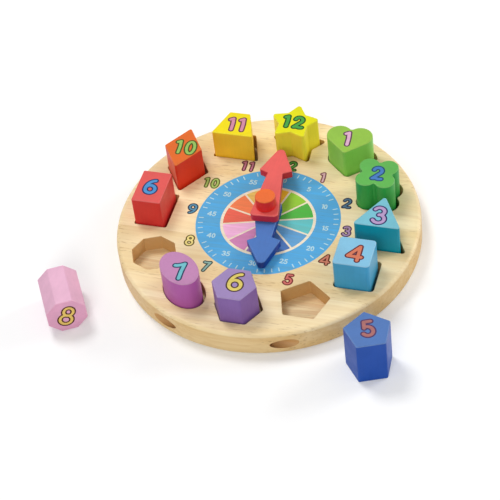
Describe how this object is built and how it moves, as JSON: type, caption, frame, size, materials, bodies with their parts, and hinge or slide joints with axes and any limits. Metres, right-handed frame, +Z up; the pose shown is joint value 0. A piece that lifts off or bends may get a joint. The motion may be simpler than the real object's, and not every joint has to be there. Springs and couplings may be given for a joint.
{
  "type": "wooden clock puzzle",
  "caption": "Round wooden clock puzzle with turning hour and minute hands, a printed dial and numbered shape blocks that lift out of matching pockets.",
  "frame": {"origin": "centre of the board's flat underside, on the axis of the peg", "axes": "+Z up through the peg, +Y towards 12 o'clock, +X towards 3 o'clock"},
  "size_m": [0.2582, 0.2288, 0.0446],
  "materials": {
    "natural_wood": "satin lacquer",
    "paint_orange_red": "satin paint",
    "paint_royal_blue": "satin paint",
    "paint_crimson": "satin paint",
    "paint_light_green": "satin paint",
    "paint_green": "satin paint",
    "paint_cyan": "satin paint",
    "paint_sky_blue": "satin paint",
    "paint_blue": "satin paint",
    "paint_purple": "satin paint",
    "paint_magenta": "satin paint",
    "paint_pink": "satin paint",
    "paint_red": "satin paint",
    "paint_orange": "satin paint",
    "paint_yellow": "satin paint",
    "paint_lemon": "satin paint"
  },
  "bodies": {
    "board": {"board_stave_1": "natural_wood", "board_stave_2": "natural_wood", "board_stave_3": "natural_wood", "board_stave_4": "natural_wood", "board_stave_5": "natural_wood", "axle_peg": "paint_orange_red", "spacer_washer": "natural_wood"},
    "hour_hand": {"hour_hand": "paint_royal_blue"},
    "minute_hand": {"minute_hand": "paint_crimson"},
    "block_01_heart": {"block_01_heart": "paint_light_green"},
    "block_02_clover": {"block_02_clover": "paint_green"},
    "block_03_triangle": {"block_03_triangle": "paint_cyan"},
    "block_04_square": {"block_04_square": "paint_sky_blue"},
    "block_05_pentagon": {"block_05_pentagon": "paint_blue"},
    "block_06_hexagon": {"block_06_hexagon": "paint_purple"},
    "block_07_oval": {"block_07_oval": "paint_magenta"},
    "block_08_octagon": {"block_08_octagon": "paint_pink"},
    "block_09_rectangle": {"block_09_rectangle": "paint_red"},
    "block_10_rhombus": {"block_10_rhombus": "paint_orange"},
    "block_11_trapezium": {"block_11_trapezium": "paint_yellow"},
    "block_12_star": {"block_12_star": "paint_lemon"}
  },
  "joints": [
    {"name": "hour_hand_turn", "type": "hinge", "parent": "board", "child": "hour_hand", "pos_m": [0, 0, 0.0249], "axis": [0, 0, 1], "continuous": true},
    {"name": "minute_hand_turn", "type": "hinge", "parent": "board", "child": "minute_hand", "pos_m": [0, 0, 0.0315], "axis": [0, 0, 1], "continuous": true},
    {"name": "block_01_heart_lift", "type": "slide", "parent": "board", "child": "block_01_heart", "axis": [0, 0, 1], "range_m": [0, 0.03]},
    {"name": "block_02_clover_lift", "type": "slide", "parent": "board", "child": "block_02_clover", "axis": [0, 0, 1], "range_m": [0, 0.03]},
    {"name": "block_03_triangle_lift", "type": "slide", "parent": "board", "child": "block_03_triangle", "axis": [0, 0, 1], "range_m": [0, 0.03]},
    {"name": "block_04_square_lift", "type": "slide", "parent": "board", "child": "block_04_square", "axis": [0, 0, 1], "range_m": [0, 0.03]},
    {"name": "block_05_pentagon_lift", "type": "slide", "parent": "board", "child": "block_05_pentagon", "axis": [0, 0, 1], "range_m": [0, 0.03]},
    {"name": "block_06_hexagon_lift", "type": "slide", "parent": "board", "child": "block_06_hexagon", "axis": [0, 0, 1], "range_m": [0, 0.03]},
    {"name": "block_07_oval_lift", "type": "slide", "parent": "board", "child": "block_07_oval", "axis": [0, 0, 1], "range_m": [0, 0.03]},
    {"name": "block_08_octagon_lift", "type": "slide", "parent": "board", "child": "block_08_octagon", "axis": [0, 0, 1], "range_m": [0, 0.03]},
    {"name": "block_09_rectangle_lift", "type": "slide", "parent": "board", "child": "block_09_rectangle", "axis": [0, 0, 1], "range_m": [0, 0.03]},
    {"name": "block_10_rhombus_lift", "type": "slide", "parent": "board", "child": "block_10_rhombus", "axis": [0, 0, 1], "range_m": [0, 0.03]},
    {"name": "block_11_trapezium_lift", "type": "slide", "parent": "board", "child": "block_11_trapezium", "axis": [0, 0, 1], "range_m": [0, 0.03]},
    {"name": "block_12_star_lift", "type": "slide", "parent": "board", "child": "block_12_star", "axis": [0, 0, 1], "range_m": [0, 0.03]}
  ]
}
